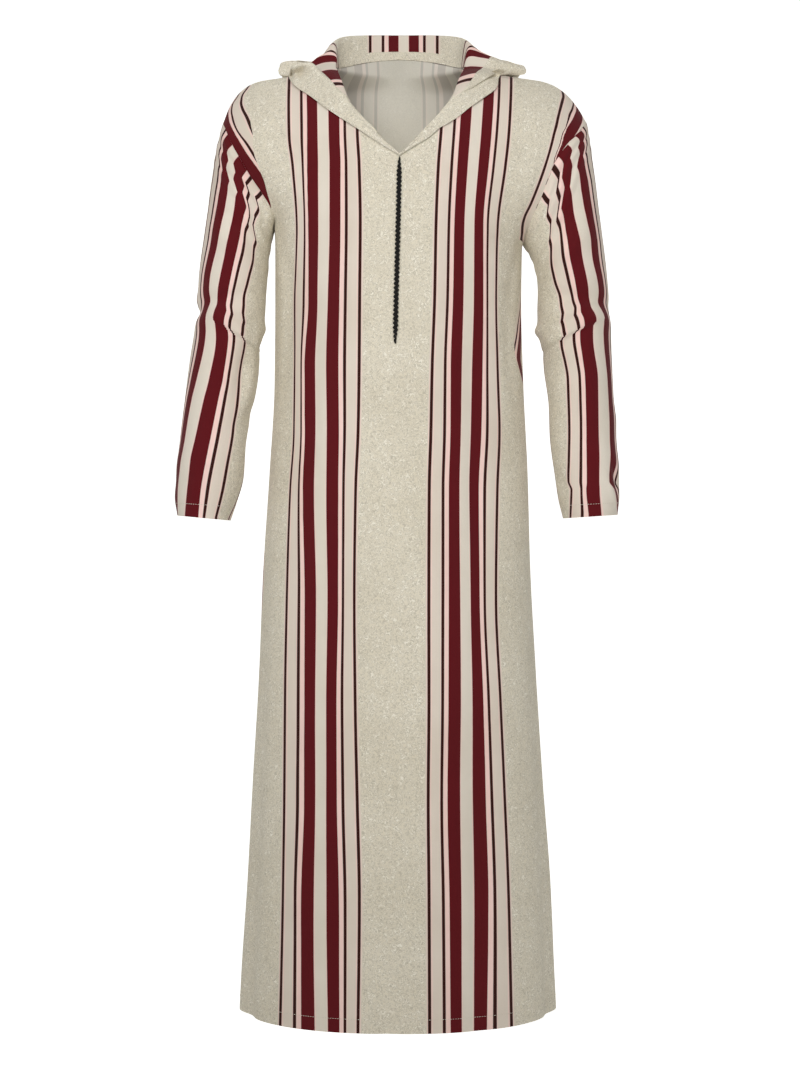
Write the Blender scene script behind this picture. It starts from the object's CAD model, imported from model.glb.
import math

import bpy
import numpy as np
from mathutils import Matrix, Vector
from mathutils.bvhtree import BVHTree


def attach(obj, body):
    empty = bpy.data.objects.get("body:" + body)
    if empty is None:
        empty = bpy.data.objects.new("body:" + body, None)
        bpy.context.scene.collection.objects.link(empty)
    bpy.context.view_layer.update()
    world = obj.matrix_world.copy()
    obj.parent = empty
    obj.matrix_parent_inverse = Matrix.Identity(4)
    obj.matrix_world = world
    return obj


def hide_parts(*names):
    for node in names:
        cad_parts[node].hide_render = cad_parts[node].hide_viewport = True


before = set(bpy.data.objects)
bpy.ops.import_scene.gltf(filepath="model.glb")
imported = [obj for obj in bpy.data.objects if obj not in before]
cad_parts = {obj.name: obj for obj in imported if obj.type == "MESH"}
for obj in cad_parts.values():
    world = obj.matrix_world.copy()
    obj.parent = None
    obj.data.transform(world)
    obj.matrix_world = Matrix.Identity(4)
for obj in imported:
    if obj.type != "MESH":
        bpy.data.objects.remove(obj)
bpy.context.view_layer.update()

# Metres, but a table inside metres(...) is in millimetres. The front faces -Y, and the origin
# is midway between the neck ends of the shoulder seams.
# "left" and "right" are those of a person who faces the robe.
sideSign = {"left": -1.0, "right": 1.0}
faceSign = {"front": -1.0, "back": 1.0}
print("frame loaded")

# camera

view = {
    "distance": 3.4,      # from the lens to the plane of the side seams
    "height": -0.662,
    "lens": 80.8, "film": 36,      # millimetres
}


def addObject(name, data):
    piece = bpy.data.objects.new(name, data)
    bpy.context.scene.collection.objects.link(piece)
    return piece


def makeCamera():
    lens = bpy.data.cameras.new("camera")
    lens.sensor_fit = "VERTICAL"
    lens.sensor_height = lens.sensor_width = view["film"]
    lens.lens = view["lens"]
    camera = addObject("camera", lens)
    camera.location = (0, -view["distance"], view["height"])
    camera.rotation_euler = (math.pi / 2, 0, 0)
    bpy.context.scene.camera = camera


makeCamera()

# curves through short tables


def metres(table):
    # the same table with its numbers turned from millimetres into metres
    if isinstance(table, dict):
        return {key: metres(value) for key, value in table.items()}
    if isinstance(table, tuple):
        return tuple(metres(value) for value in table)
    return table if isinstance(table, str) else round(table / 1000, 6)


def follow(rows, at, column=1):
    # value of a table's column at places in its first column, without overshoot
    rows = np.array(sorted(rows))
    xs, ys = rows[:, 0], rows[:, column]
    step = np.diff(xs)
    slope = np.diff(ys) / step
    tangent = np.zeros(len(xs))
    tangent[0], tangent[-1] = slope[0], slope[-1]
    for i in range(1, len(xs) - 1):
        if slope[i - 1] * slope[i] > 0:
            before = 2 * step[i] + step[i - 1]
            after = step[i] + 2 * step[i - 1]
            tangent[i] = (before + after) / (before / slope[i - 1] + after / slope[i])
    at = np.clip(at, xs[0], xs[-1])
    i = np.clip(np.searchsorted(xs, at) - 1, 0, len(step) - 1)
    t = (at - xs[i]) / step[i]
    return ((1 + 2 * t) * (1 - t) ** 2 * ys[i] + t * (1 - t) ** 2 * step[i] * tangent[i]
            + t * t * (3 - 2 * t) * ys[i + 1] + t * t * (t - 1) * step[i] * tangent[i + 1])


def through(points, place):
    # point on a centripetal curve; place 1.5 is half way from point 1 to point 2
    points = np.asarray(points, float)
    last = len(points) - 1
    i = int(min(max(place, 0.0), last - 1e-9))
    ends = [2 * points[0] - points[1], *points, 2 * points[last] - points[last - 1]]
    a, b, c, d = ends[i:i + 4]
    knots = [0.0]
    for p, q in ((a, b), (b, c), (c, d)):
        knots.append(knots[-1] + max(float(np.linalg.norm(q - p)) ** 0.5, 1e-4))
    k0, k1, k2, k3 = knots
    t = k1 + (k2 - k1) * (place - i)

    def between(p, q, start, end):
        return (p * (end - t) + q * (t - start)) / (end - start)

    ab, bc, cd = between(a, b, k0, k1), between(b, c, k1, k2), between(c, d, k2, k3)
    return between(between(ab, bc, k0, k2), between(bc, cd, k1, k3), k1, k2)


def ease(low, high, value):
    t = np.clip((value - low) / (high - low), 0, 1)
    return t * t * (3 - 2 * t)


def unit(vectors):
    length = np.linalg.norm(vectors, axis=-1, keepdims=True)
    return vectors / np.maximum(length, 1e-12)


def running(lengths, axis=0):
    # running total, from 0
    return np.concatenate([np.zeros_like(np.take(lengths, [0], axis)), np.cumsum(lengths, axis)], axis)


def numbered(shape, start=0):
    # vertex numbers of a grid
    return start + np.arange(shape[0] * shape[1]).reshape(shape[:2])


def creaseHeight(u, v, creases):
    # Soft troughs with a low ridge on one side. Each row: start u, v, end u, v,
    # half width, height (+ out), bend sideways at the middle.
    total = np.zeros(np.broadcast(u, v).shape)
    for startU, startV, endU, endV, half, height, bend in creases:
        runU, runV = endU - startU, endV - startV
        length = math.hypot(runU, runV)
        along = ((u - startU) * runU + (v - startV) * runV) / length ** 2
        across = ((u - startU) * runV - (v - startV) * runU) / length - bend * 4 * along * (1 - along)
        fade = ease(*cloth["creaseStart"], along) * (1 - ease(*cloth["creaseEnd"], along))
        t = across / (half * (0.55 + 0.45 * fade))
        ridge = cloth["ridgeHeight"] * np.exp(-(t - cloth["ridgeAt"]) ** 2)
        total += height * fade * (np.exp(-t * t) - ridge)
    return total


def acrossLines(value, lines, amounts):
    # amount at a value, straight between the lines it lies among and at full scale beyond them
    turn = 1.0 if amounts[-1] > amounts[0] else -1.0
    total = amounts[0] + (value - lines[0]) * turn
    for i in range(len(lines) - 1):
        t = (value - lines[i]) / (lines[i + 1] - lines[i])
        total = np.where(value >= lines[i], amounts[i] + t * (amounts[i + 1] - amounts[i]), total)
    return np.where(value >= lines[-1], amounts[-1] + (value - lines[-1]) * turn, total)


# the cloth's form

cloth = {
    "thickness": 0.0016, "seamGap": 0.0003,
    # how a crease sets in and fades along its length, and the ridge beside it
    "creaseStart": (-0.02, 0.30), "creaseEnd": (0.62, 1.02), "ridgeHeight": 0.45, "ridgeAt": 1.9,
    "sharpAngle": 55,
    # steps that lengths are measured in: round the body, over an arc, along the neck edge and the
    # shoulder, round and down a sleeve
    "roundSteps": 49, "arcSteps": 161, "edgeSteps": 401, "shoulderSteps": 241,
    "turnSteps": 41, "sleeveSteps": 300,
}

body = {
    "hemZ": -1.339, "hemSideRise": 0.010,
    "neckHalf": 0.092, "backNeckRise": 0.024, "backNeckDepth": 0.070,
    "slitBottomZ": -0.402, "slitHalfGap": 0.0004,
    "armholeBulge": 0.055,
    # vertical smoothing round the armpits: rows below and above them, rows to fade, passes
    "smoothBelow": 26, "smoothAbove": 34, "smoothFade": 12, "smoothPasses": 140,
    "skirtRows": 236, "yokeRows": 60, "neckColumns": 26, "shoulderColumns": 48,
    # depth at the centre line: z, front, back, squareness of the section
    "centreDepth": (
        (-1.345, 0.163, 0.128, 2.1), (-1.1, 0.149, 0.115, 2.1), (-0.9, 0.137, 0.105, 2.1),
        (-0.7, 0.126, 0.096, 2.1), (-0.52, 0.12, 0.092, 2.05), (-0.4, 0.122, 0.095, 2.0),
        (-0.3, 0.124, 0.1, 2.0), (-0.23, 0.12, 0.104, 2.0), (-0.18, 0.114, 0.105, 2.0),
        (-0.125, 0.104, 0.104, 2.0), (-0.08, 0.091, 0.101, 1.9), (-0.04, 0.07, 0.095, 1.6),
        (-0.015, 0.047, 0.088, 1.4), (0.0, 0.034, 0.082, 1.35), (0.024, 0.028, 0.07, 1.35),
    ),
    # half width below the armpits: z, left, right
    "bodyHalf": metres((
        (-1345, 226, 220), (-1280, 223, 217), (-1155, 215, 212), (-1015, 208, 202), (-865, 200, 193),
        (-715, 194, 185), (-575, 185, 181), (-450, 178, 175), (-340, 177, 172), (-260, 177, 173),
        (-220, 178, 174),
    )),
    # half width over the shoulders: z, left, right
    "shoulderHalf": metres((
        (-80, 251, 265), (-55, 241, 250), (-33, 224, 229), (-21, 202, 204), (-16, 172, 172), (-9, 127, 127),
        (0, 92, 92),
    )),
    # front neck edge: x, z
    "neckEdge": metres(((0, -141), (36, -103), (60, -75), (73, -55), (82, -27), (89, -7), (92, 0))),
    # shoulder end of each armhole seam, then its end at the armpit: x, z, x, z
    "armholes": metres({
        "left": (251, -80, 178, -230),
        "right": (265, -80, 174, -252),
    }),
    # how far each armhole seam bows out of its straight line: z, x away from the centre plane
    "armholeBow": metres({"left": (
        (-230, 0), (-218, -7), (-205, -9), (-188, -7), (-168, -3), (-145, 0), (-115, 2), (-80, 0),
    ), "right": (
        (-252, 0), (-219, -5), (-173, -11), (-145, -15), (-118, -11), (-100, -5), (-80, 0),
    )}),
    # drift of the front's centre line: z, x
    "centreDrift": metres(((-1345, -9), (-700, -10), (-410, -7), (-141, -1), (0, 0))),
    # largest hanging folds: face, u, half width, height, top z, bottom z, drift of u
    "folds": metres((
        ("front", 222, 16, -7, -600, -1345, 30), ("front", 262, 18, 6, -750, -1345, 25),
        ("front", 112, 20, -4, -450, -900, 5), ("front", -8, 14, -4, -420, -860, 0),
        ("front", -215, 18, -7, -550, -1345, -30), ("front", -262, 18, 6, -800, -1345, -20),
        ("back", 60, 26, 10, -420, -1345, 20), ("back", 125, 24, -10, -400, -1345, 30),
        ("back", 200, 26, 10, -450, -1345, 40), ("back", -20, 24, -9, -500, -1345, -10),
        ("back", -100, 28, 11, -400, -1345, -30), ("back", -180, 26, -9, -450, -1345, -35),
    )),
    # small soft creases: start u, z, end u, z, half width, height, bend
    "creases": metres({"front": (
        (-12, -410, -16, -800, 10, -1.6, 3), (50, -460, 60, -860, 14, 1.4, -4),
        (-60, -550, -52, -980, 16, -1.3, 4), (110, -340, 122, -720, 13, -2.2, 6),
        (-118, -300, -128, -620, 12, -1.8, -5), (170, -240, 190, -520, 14, -2.2, 8),
        (-168, -230, -186, -500, 14, -2.4, -8), (-214, -215, -176, -330, 11, -2.2, -8),
        (216, -230, 178, -360, 11, -2.2, 8), (-196, -130, -168, -260, 14, 1.4, -6),
        (202, -120, 174, -270, 14, 1.4, 6), (-100, -900, -112, -1260, 16, -1.8, 6),
        (85, -950, 100, -1300, 18, 1.6, -5), (20, -1000, 30, -1310, 16, -1.3, 3),
    ), "back": (
        (-30, -200, -36, -600, 14, -2.2, 4), (70, -160, 80, -500, 14, 2, -5),
        (150, -200, 170, -560, 14, -2.6, 8), (-150, -180, -172, -520, 14, -2.6, -7),
        (-220, -160, -190, -300, 14, -2.6, -8), (224, -150, 192, -310, 14, -2.6, 8),
        (-80, -700, -94, -1240, 18, 2.4, 6), (30, -800, 40, -1300, 18, -2.2, -6),
        (120, -900, 140, -1300, 16, 2, 5),
    )}),
}


def depthAt(z, face):
    return follow(body["centreDepth"], z, 1 if face == "front" else 2)


def squareness(z):
    return follow(body["centreDepth"], z, 3)


def halfWidth(z, side, face):
    column = 1 if side == "left" else 2
    tipX, tipZ, pitX, pitZ = body["armholes"][side]
    share = np.clip((z - pitZ) / (tipZ - pitZ), 0, 1)
    edgeX = pitX + (tipX - pitX) * share
    edgeY = body["armholeBulge"] * np.sqrt(np.maximum(0, 1 - (2 * share - 1) ** 2))
    power = squareness(z)
    between = edgeX / (1 - np.minimum(edgeY / depthAt(z, face), 0.99) ** power) ** (1 / power)
    above, below = (follow(body[table], z, column) for table in ("shoulderHalf", "bodyHalf"))
    return np.where(z >= tipZ, above, np.where(z <= pitZ, below, between))


def bodyY(x, z, side, face):
    across = np.minimum(np.abs(x) / halfWidth(z, side, face), 1.0)
    power = squareness(z)
    return faceSign[face] * depthAt(z, face) * (1 - across ** power) ** (1 / power)


def armholeX(z, side):
    tipX, tipZ, pitX, pitZ = body["armholes"][side]
    straight = pitX + (tipX - pitX) * (z - pitZ) / (tipZ - pitZ)
    return straight + follow(body["armholeBow"][side], z)


def roundFromMiddle(x, z, side, face):
    # distance round the body from the centre line, at one height
    a, power = halfWidth(z, side, face), 2 / squareness(z)
    end = np.arcsin(np.minimum(np.abs(x) / a, 1.0) ** (1 / power))[..., None]
    turn = end * np.linspace(0, 1, cloth["roundSteps"])
    across = a[..., None] * np.sin(turn) ** power[..., None]
    out = depthAt(z, face)[..., None] * np.cos(turn) ** power[..., None]
    return np.hypot(np.diff(across), np.diff(out)).sum(axis=-1)


def sectionArcs(z, side, face, shares):
    # x at a share of the arc from the centre line to the side seam
    power = 2 / squareness(z)[..., None]
    turn = np.linspace(0, math.pi / 2, cloth["arcSteps"])
    x = halfWidth(z, side, face)[..., None] * np.sin(turn) ** power
    y = depthAt(z, face)[..., None] * np.cos(turn) ** power
    run = running(np.hypot(np.diff(x), np.diff(y)), -1)
    target = (shares * run[..., -1])[..., None]
    i = np.clip((run < target).sum(axis=-1) - 1, 0, len(turn) - 2)[..., None]
    low, high = np.take_along_axis(run, i, -1), np.take_along_axis(run, i + 1, -1)
    t = (target - low) / (high - low)
    found = np.take_along_axis(x, i, -1) * (1 - t) + np.take_along_axis(x, i + 1, -1) * t
    return found[..., 0]


def shoulderRun(side):
    # run along the shoulder from the centre line, with x and z, from the neck to the armhole
    z = np.linspace(0.0, body["armholes"][side][1], cloth["shoulderSteps"])
    x = follow(body["shoulderHalf"], z, 1 if side == "left" else 2)
    return body["neckHalf"] + running(np.hypot(np.diff(x), np.diff(z))), x, z


def neckPoints(x, face):
    # y and z of the neck edge
    if face == "front":
        z = follow(body["neckEdge"], x)
        return np.where(x < body["neckHalf"] - 1e-6, bodyY(x, z, "left", "front"), 0.0), z
    inside = np.maximum(1 - (x / body["neckHalf"]) ** 2, 0)
    return body["backNeckDepth"] * np.sqrt(inside), body["backNeckRise"] * inside


def foldHeight(face, u, z):
    total = np.zeros(u.shape)
    for owner, centre, half, height, top, bottom, drift in body["folds"]:
        if owner != face:
            continue
        down = np.clip((top - z) / (top - bottom), 0, 1)
        grow = np.sin(np.minimum(down * 2.2, 1.0) * math.pi / 2) * (0.35 + 0.65 * down)
        total += height * grow * np.exp(-((u - centre - drift * down) / half) ** 2)
    return total + creaseHeight(u, z, body["creases"][face])


def placeOnBody(x, z, side, face):
    shift = 0.0
    if face == "front":
        shift = follow(body["centreDrift"], z) * (1 - np.minimum(x / halfWidth(z, side, face), 1.0) ** 2)
    placed = sideSign[side] * x + shift
    return np.stack([placed, bodyY(placed, z, side, face), z], axis=-1)


def yokeShares():
    # heights of the rows above the armpits, from 0 at the armpit to 1 at the shoulder
    return np.sin(math.pi / 2 * np.arange(body["yokeRows"] + 1) / body["yokeRows"])


def bodyGrid(side, face):
    # points of one half of a panel, rows from the hem up, columns from the centre out, and the
    # cloth's own u (distance round from the centre line)
    pitZ = body["armholes"][side][3]
    centrePitZ = (body["armholes"]["left"][3] + body["armholes"]["right"][3]) / 2
    run, runX, runZ = shoulderRun(side)
    neckShare = body["neckHalf"] / run[-1]
    edgeX = np.linspace(0, 1, cloth["edgeSteps"]) * body["neckHalf"]
    edgeZ = follow(body["neckEdge"], edgeX)
    edgeRun = running(np.hypot(np.diff(edgeX), 0.6 * np.diff(edgeZ)))
    even = np.linspace(0, edgeRun[-1], body["neckColumns"] + 1)
    shares = neckShare * np.interp(even, edgeRun, edgeX) / body["neckHalf"]
    shares = np.concatenate([shares, np.linspace(neckShare, 1, body["shoulderColumns"] + 1)[1:]])

    up = np.linspace(0, 1, body["skirtRows"] + 1)[:, None]
    start = body["hemZ"] + body["hemSideRise"] * shares ** 3
    z = start + (centrePitZ + (pitZ - centrePitZ) * shares - start) * up
    x = sectionArcs(z, side, face, shares)
    skirt = placeOnBody(x, z, side, face)

    up = yokeShares()[1:, None]
    along = shares * run[-1]
    neckX = np.minimum(along, body["neckHalf"])
    neckY, neckZ = neckPoints(neckX, face)
    inNeck = along <= body["neckHalf"] + 1e-6
    topX = np.where(inNeck, neckX, np.interp(along, run, runX))
    topY = np.where(inNeck, neckY, 0.0)
    topZ = np.where(inNeck, neckZ, np.interp(along, run, runZ))
    yokeX = x[-1] + (topX - x[-1]) * up
    yokeZ = z[-1] + (topZ - z[-1]) * up
    yokeX = yokeX + follow(body["armholeBow"][side], yokeZ) * ease(0.45, 1.0, shares)
    yoke = placeOnBody(yokeX, yokeZ, side, face)
    yoke[..., 1] += (topY - placeOnBody(topX, topZ, side, face)[..., 1]) * up ** 4
    points = np.concatenate([skirt, yoke])
    x = np.concatenate([x, yokeX])
    u = roundFromMiddle(x, points[..., 2], side, face)
    return {"points": points, "u": sideSign[side] * u, "x": sideSign[side] * x, "shares": shares}


def smoothArmpit(points, shares):
    # let the cloth run evenly from the chest into the skirt, edges left where they are
    fade = body["smoothFade"]
    low = body["skirtRows"] - body["smoothBelow"] - fade
    high = body["skirtRows"] + body["smoothAbove"] - fade
    rows = np.arange(points.shape[0])[:, None]
    inside = ease(low, low + 1.5 * fade, rows) * (1 - ease(high, high + 1.5 * fade, rows))
    weight = 0.5 * inside * (1 - np.abs(shares) ** 6)
    y = points[..., 1]
    for _ in range(body["smoothPasses"]):
        y[1:-1, 1:-1] += weight[1:-1, 1:-1] * (around(y) - y[1:-1, 1:-1])
    return points


def around(grid):
    # mean of each inner point's four neighbours
    return (grid[:-2, 1:-1] + grid[2:, 1:-1] + grid[1:-1, :-2] + grid[1:-1, 2:]) / 4


def gridNormals(points, outward=1.0):
    return unit(np.cross(np.gradient(points, axis=1), np.gradient(points, axis=0))) * outward


def bodyPanels():
    panels = {}
    for face in faceSign:
        left, right = bodyGrid("left", face), bodyGrid("right", face)
        middle = (left["points"][:, 0] + right["points"][:, 0]) / 2
        left["points"][:, 0] = right["points"][:, 0] = middle
        join = {key: np.concatenate([left[key][:, ::-1], right[key][:, 1:]], axis=1)
                for key in ("points", "u", "x")}
        shares = np.concatenate([-left["shares"][::-1], right["shares"][1:]])
        points = smoothArmpit(join["points"], shares)
        rows = len(points) - 1 - np.arange(len(points))[:, None]
        height = foldHeight(face, join["u"], points[..., 2])
        height *= (1 - np.abs(shares) ** 8) * ease(0, 8, rows)
        points += gridNormals(points, -faceSign[face]) * height[..., None]
        join["normals"] = gridNormals(points, -faceSign[face])
        panels[face] = join
    front, back = (panels[face]["normals"] for face in faceSign)
    for column in (0, -1):
        shareSeam(front[:, column], back[:, column])
    shareSeam(front[-1], back[-1])
    return panels


def shareSeam(first, second):
    # one offset direction for both edges of a seam, where the cloth does not fold back
    close = (first * second).sum(axis=1) > 0.3
    mean = unit(first + second)
    first[close] = mean[close]
    second[close] = mean[close]


# meshes


def quadFaces(index, closed=False):
    # faces of a grid of vertex numbers
    if closed:
        index = np.concatenate([index, index[:, :1]], axis=1)
    faces = np.stack([index[:-1, :-1], index[:-1, 1:], index[1:, 1:], index[1:, :-1]], axis=-1)
    return faces.reshape(-1, 4)


def clothMesh(name, outer, normals, faces, maps, materials):
    # closed thin wall: outer points, the same points moved in, and the rim between them
    used = np.unique(faces)
    number = np.full(len(outer), -1)
    number[used] = np.arange(len(used))
    faces, outer, count = number[faces], outer[used], len(used)
    edges = np.concatenate([faces[:, [i, (i + 1) % 4]] for i in range(4)]).astype(np.int64)
    rim = edges[~np.isin(edges @ (count, 1), edges @ (1, count))]
    rimFaces = np.stack([rim[:, 1], rim[:, 0], rim[:, 0] + count, rim[:, 1] + count], axis=-1)
    inner = outer - normals[used] * cloth["thickness"]
    mesh = bpy.data.meshes.new(name)
    mesh.from_pydata(np.concatenate([outer, inner]), [],
                     np.concatenate([faces, faces[:, ::-1] + count, rimFaces]).tolist())
    corner = np.zeros(len(mesh.loops), dtype=np.int32)
    mesh.loops.foreach_get("vertex_index", corner)
    for mapName, values in maps.items():
        layer = mesh.uv_layers.new(name=mapName)
        both = np.concatenate([values[used], values[used]])
        layer.data.foreach_set("uv", both[corner].astype(np.float32).ravel())
    slots = np.repeat([0, 1, 0], [len(faces), len(faces), len(rimFaces)])
    mesh.polygons.foreach_set("material_index", slots.astype(np.int32))
    for material in materials:
        mesh.materials.append(material)
    mesh.shade_smooth()
    mesh.set_sharp_from_angle(angle=math.radians(cloth["sharpAngle"]))
    return addObject(name, mesh)


def addMesh(name, verts, faces, material):
    mesh = bpy.data.meshes.new(name)
    mesh.from_pydata([tuple(point) for point in verts], [], faces)
    mesh.materials.append(material)
    mesh.shade_smooth()
    return addObject(name, mesh)


def settle(piece, node):
    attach(piece, "root")
    if node:
        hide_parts(node)
    return piece


# materials

printSizes = {        # millimetres either side of the middle of a group of stripes
    "creamEnd": 6.6, "bandStart": 8.3, "bandEnd": 23.6,
    "lineStarts": (30.4, 50.5), "lineWidth": 4.0,
    "pinkEdge": 1.3, "groundStart": 56.8, "reach": 64.0,
    "blur": 0.40, "soft": 0.6, "paleFade": 2.0, "groundFade": 1.5,
}
printColours = {      # screen values, 0 to 255
    "ground": (220, 212, 193), "cream": (222, 213, 199), "pink": (238, 206, 197),
    "band": (90, 7, 16), "line": (50, 15, 9), "between": (219, 207, 193),
    "inside": (213, 210, 200), "slub": (240, 236, 224), "shade": (184, 176, 158),
    "braid": (7, 5, 3), "thread": (222, 212, 196), "floor": (250, 250, 247),
}


def paint(name, strength=1.0):
    # linear colour from screen values
    linear = []
    for value in printColours[name]:
        share = value / 255 * strength
        linear.append(share / 12.92 if share < 0.04045 else ((share + 0.055) / 1.055) ** 2.4)
    return (*linear, 1.0)


class Board:
    # one material's node tree, with short calls to fill it
    def __init__(self, name, roughness, sheen=0.0):
        self.material = bpy.data.materials.new(name)
        self.material.use_nodes = True
        self.nodes = self.material.node_tree.nodes
        self.links = self.material.node_tree.links
        self.shader = self.nodes["Principled BSDF"]
        self.shader.inputs["Roughness"].default_value = roughness
        self.shader.inputs["Specular IOR Level"].default_value = 0.25
        self.shader.inputs["Sheen Weight"].default_value = sheen
        self.place = self.add("ShaderNodeTexCoord").outputs["Object"]

    def add(self, kind, settings=None, numbers=None, **sockets):
        # sockets by name, or by number
        node = self.nodes.new(kind)
        for key, value in (settings or {}).items():
            setattr(node, key, value)
        for key, value in (numbers or sockets).items():
            if isinstance(value, bpy.types.NodeSocket):
                self.links.new(value, node.inputs[key])
            else:
                node.inputs[key].default_value = value
        return node

    def math(self, operation, *values):
        return self.add("ShaderNodeMath", {"operation": operation}, dict(enumerate(values))).outputs[0]

    def times(self, *values):
        return self.math("MULTIPLY", *values)

    def mix(self, factor, first, second, blend="MIX"):
        return self.add("ShaderNodeMix", {"data_type": "RGBA", "blend_type": blend},
                        {0: factor, 6: first, 7: second}).outputs[2]

    def noise(self, scale, detail=3.0, roughness=0.5, distortion=0.0):
        return self.add("ShaderNodeTexNoise", Vector=self.place, Scale=scale, Detail=detail,
                        Roughness=roughness, Distortion=distortion).outputs[0]

    def spread(self, *values):
        # a value, its range, and the range it's spread over
        return self.add("ShaderNodeMapRange", {"interpolation_type": "SMOOTHSTEP"},
                        dict(enumerate(values))).outputs[0]

    def split(self, vector):
        return self.add("ShaderNodeSeparateXYZ", Vector=vector).outputs

    def map(self, name):
        return self.split(self.add("ShaderNodeUVMap", {"uv_map": name}).outputs[0])

    def link(self, output, name):
        self.links.new(output, self.shader.inputs[name])

    def bump(self, height, strength, distance):
        fine = self.add("ShaderNodeBump", Height=height, Strength=strength, Distance=distance)
        self.link(fine.outputs[0], "Normal")


def stripeRamp(board, distance):
    # the print's colours by distance from the middle of a group of stripes
    sizes, blur = printSizes, printSizes["blur"]
    stops = [(0, "cream"), (sizes["creamEnd"], "cream"), (sizes["creamEnd"] + sizes["soft"], "pink"),
             (sizes["bandStart"] - blur, "pink"), (sizes["bandStart"], "band"),
             (sizes["bandEnd"], "band"), (sizes["bandEnd"] + blur, "pink"),
             (sizes["lineStarts"][1] - sizes["pinkEdge"] - sizes["paleFade"], "between"),
             (sizes["groundStart"] + sizes["groundFade"], "ground")]
    for start in sizes["lineStarts"]:
        end = start + sizes["lineWidth"]
        stops += [(start - blur, "pink"), (start, "line"), (end, "line"), (end + blur, "pink"),
                  (end + sizes["pinkEdge"] + sizes["soft"], "between")]
    ramp = board.add("ShaderNodeValToRGB", numbers={0: board.math("DIVIDE", distance, sizes["reach"] / 1000)})
    elements = ramp.color_ramp.elements
    elements[0].position, elements[0].color = 0.0, paint(stops[0][1])
    elements[1].position, elements[1].color = 1.0, paint("ground")
    for place, colour in stops[1:]:
        elements.new(place / sizes["reach"]).color = paint(colour)
    return ramp.outputs[0]


weave = {
    "roughness": 0.92, "sheen": 0.06, "insideShare": 0.79, "covered": 0.1, "groundFrom": (0.056, 0.059),
    "pitch": (0.0011, 0.0012),       # warp and weft
    # noises: scale, detail, roughness, distortion
    "slubs": (260.0, 2.0), "crepe": (48.0, 3.0, 0.55, 0.4), "curls": (190.0, 1.0, 0.45, 1.1),
    "breaks": (70.0, 2.0), "flecks": (360.0, 2.0), "patches": (9.0, 2.0),
    # ranges: from low, high, and to low, high
    "curlRange": (0.012, 0.042, 1.0, 0.0), "breakRange": (0.30, 0.62, 0.25, 1.0),
    "rimStart": (0.030, 0.060), "rimEnd": (0.070, 0.120, 1.0, 0.0),
    "fleckRange": (0.52, 0.70), "patchRange": (0.32, 0.72),
    # how strongly each shows, and the heights of weave, slubs and crepe
    "rim": 0.78, "fleck": 0.62, "curl": 0.72, "patch": 0.16, "patchTone": 0.94,
    "heights": (0.12, 0.5, 1.6), "bump": (0.55, 0.0007),
}


def wovenBump(board):
    # a plain weave, the slubs in it and a slight crepe
    waves = [board.math("SINE", board.times(run, 2 * math.pi / pitch))
             for run, pitch in zip(board.map("cut"), weave["pitch"])]
    threads, slubs, crepe = weave["heights"]
    height = board.times(board.noise(*weave["slubs"]), slubs)
    height = board.math("MULTIPLY_ADD", board.times(*waves), threads, height)
    height = board.math("MULTIPLY_ADD", board.noise(*weave["crepe"]), crepe, height)
    board.bump(height, *weave["bump"])


def printedCloth(name, inside=False):
    board = Board(name, weave["roughness"], weave["sheen"])
    apart = board.map("print")
    covered = board.math("LESS_THAN", apart[1], 0.0)
    distance = board.math("MAXIMUM", apart[0], board.times(covered, weave["covered"]))
    colour = stripeRamp(board, distance)
    # heathered ground between the groups: pale curls with a darker outline, and fine flecks
    ground = board.spread(distance, *weave["groundFrom"])
    off = board.math("ABSOLUTE", board.math("SUBTRACT", board.noise(*weave["curls"]), 0.5))
    breaks, fleck, patch = (board.spread(board.noise(*weave[noise]), *weave[span]) for noise, span in (
        ("breaks", "breakRange"), ("flecks", "fleckRange"), ("patches", "patchRange")))
    curl = board.times(board.spread(off, *weave["curlRange"]), breaks)
    rim = board.times(board.spread(off, *weave["rimStart"]), board.spread(off, *weave["rimEnd"]))
    for share, kind, tone in ((rim, "rim", "shade"), (fleck, "fleck", "shade"), (curl, "curl", "slub")):
        amount = board.times(board.times(share, ground), weave[kind])
        colour = board.mix(amount, colour, paint(tone))
    patch = board.times(patch, weave["patch"])
    colour = board.mix(patch, colour, paint("ground", weave["patchTone"]), "MULTIPLY")
    if inside:
        colour = board.mix(weave["insideShare"], colour, paint("inside"))
    board.link(colour, "Base Color")
    wovenBump(board)
    return board.material


cords = {
    # the strands' size and detail, their range, the tones they lie between and their bump
    "braid": {"roughness": 0.6, "sheen": 0.0, "strands": (900.0, 2.0), "range": (0.4, 0.75),
              "tones": (1.0, 1.7), "bump": (0.6, 0.0006)},
    "thread": {"roughness": 0.7, "sheen": 0.2, "strands": (1400.0, 1.0), "range": (0.35, 0.7),
               "tones": (0.86, 1.05), "bump": (0.4, 0.0003)},
}


def cordFinish(name, kind):
    cord = cords[kind]
    board = Board(name, cord["roughness"], cord["sheen"])
    strands = board.noise(*cord["strands"])
    tones = [paint(kind, tone) for tone in cord["tones"]]
    board.link(board.mix(board.spread(strands, *cord["range"]), *tones), "Base Color")
    board.bump(strands, *cord["bump"])
    return board.material


def floorFinish(name):
    board = Board(name, 0.95)
    grain = board.times(board.noise(40.0, 2.0), 0.03)
    board.link(board.mix(grain, paint("floor"), paint("floor", 0.97)), "Base Color")
    board.shader.inputs["Emission Color"].default_value = (1.0, 1.0, 0.985, 1.0)
    glow = board.spread(board.split(board.place)[1], -0.20, 0.45, 0.10, 0.64)
    board.link(glow, "Emission Strength")
    return board.material


outsideCloth = printedCloth("striped cloth")
insideCloth = printedCloth("striped cloth, wrong side", inside=True)
braidSilk = cordFinish("black braid", "braid")
sewingThread = cordFinish("sewing thread", "thread")
print("materials made")

# front and back

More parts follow.
